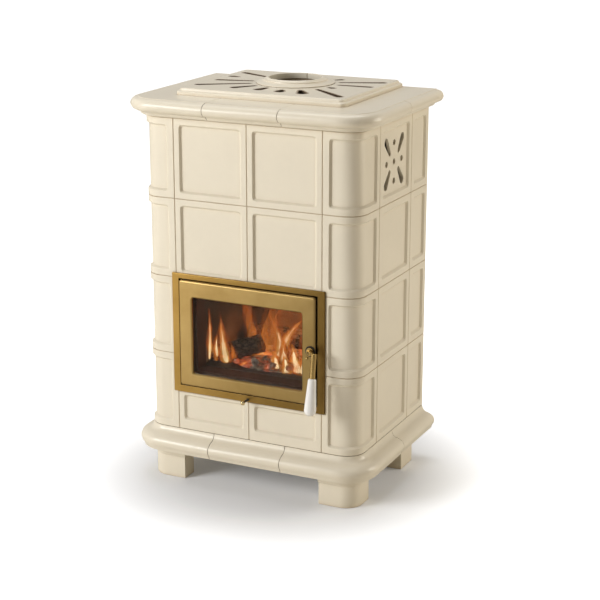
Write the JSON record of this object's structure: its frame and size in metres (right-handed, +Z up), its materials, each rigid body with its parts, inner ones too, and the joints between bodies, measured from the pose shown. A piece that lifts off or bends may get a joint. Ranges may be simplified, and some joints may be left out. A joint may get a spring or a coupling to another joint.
{
  "type": "tiled stove",
  "caption": "Free-standing wood stove clad in cream relief tiles, with moulded ceramic cornices and feet, a glazed brass door and a pierced top plate round the flue.",
  "frame": {"origin": "on the floor, under the middle of the whole stove's box (cornice, handle and knob included)", "axes": "+Z up, the door faces -Y, the flat rear faces +Y, +X to the right when facing the door"},
  "size_m": [0.6692, 0.5036, 1.0173],
  "materials": {
    "glaze": "cream glaze, satin gloss",
    "brass": "aged brass, satin",
    "cast_iron": "matt black-brown",
    "steel_sheet": "dark grey heat-proof paint",
    "firebrick": "rough fired clay",
    "glass": "clear ceramic glass",
    "seal_rope": "dark glass-fibre rope",
    "porcelain": "white glazed porcelain"
  },
  "bodies": {
    "stove": {"ash_pan": "steel_sheet", "back_panel": "steel_sheet", "baffle_plate": "firebrick", "base_cornice_front_centre": "glaze", "base_cornice_front_left": "glaze", "base_cornice_front_right": "glaze", "base_cornice_rear_left": "glaze", "base_cornice_rear_right": "glaze", "chassis_base": "steel_sheet", "corner_tile_left_row1": "glaze", "corner_tile_left_row2": "glaze", "corner_tile_left_row3": "glaze", "corner_tile_left_row4": "glaze", "corner_tile_right_row1": "glaze", "corner_tile_right_row2": "glaze", "corner_tile_right_row3": "glaze", "corner_tile_right_row4": "glaze", "door_surround": "brass", "firebox_body": "cast_iron", "firebrick_back": "firebrick", "firebrick_left": "firebrick", "firebrick_right": "firebrick", "flue_pipe": "cast_iron", "flue_ring": "glaze", "foot_front_left": "glaze", "foot_front_right": "glaze", "foot_rear_left": "glaze", "foot_rear_right": "glaze", "front_tile_left_row3": "glaze", "front_tile_left_row4": "glaze", "front_tile_left_short": "glaze", "front_tile_right_row3": "glaze", "front_tile_right_row4": "glaze", "front_tile_right_short": "glaze", "grate": "cast_iron", "hearth_plate": "cast_iron", "hinge_pin_lower": "steel_sheet", "hinge_pin_upper": "steel_sheet", "rear_tiles_left": "glaze", "rear_tiles_right": "glaze", "side_tiles_left": "glaze", "side_tiles_right": "glaze", "side_vent_tile_left": "glaze", "side_vent_tile_right": "glaze", "top_cornice_front_centre": "glaze", "top_cornice_front_left": "glaze", "top_cornice_front_right": "glaze", "top_cornice_rear_left": "glaze", "top_cornice_rear_right": "glaze", "top_plate": "glaze"},
    "door": {"door_frame": "brass", "door_glass": "glass", "glass_retainer": "steel_sheet", "door_seal": "seal_rope"},
    "handle": {"handle_lever": "brass", "handle_grip": "porcelain", "latch_hook": "cast_iron"},
    "air_control": {"air_control_rod": "steel_sheet", "air_knob": "brass"}
  },
  "joints": [
    {"name": "door_hinge", "type": "hinge", "parent": "stove", "child": "door", "pos_m": [-0.174, -0.18118, 0.4], "axis": [0, 0, -1], "range_deg": [0, 110]},
    {"name": "handle_turn", "type": "hinge", "parent": "door", "child": "handle", "pos_m": [0.176, -0.19218, 0.402], "axis": [0, -1, 0], "range_deg": [0, 60]},
    {"name": "air_control_slide", "type": "slide", "parent": "stove", "child": "air_control", "axis": [0, -1, 0], "range_m": [0, 0.025]}
  ]
}
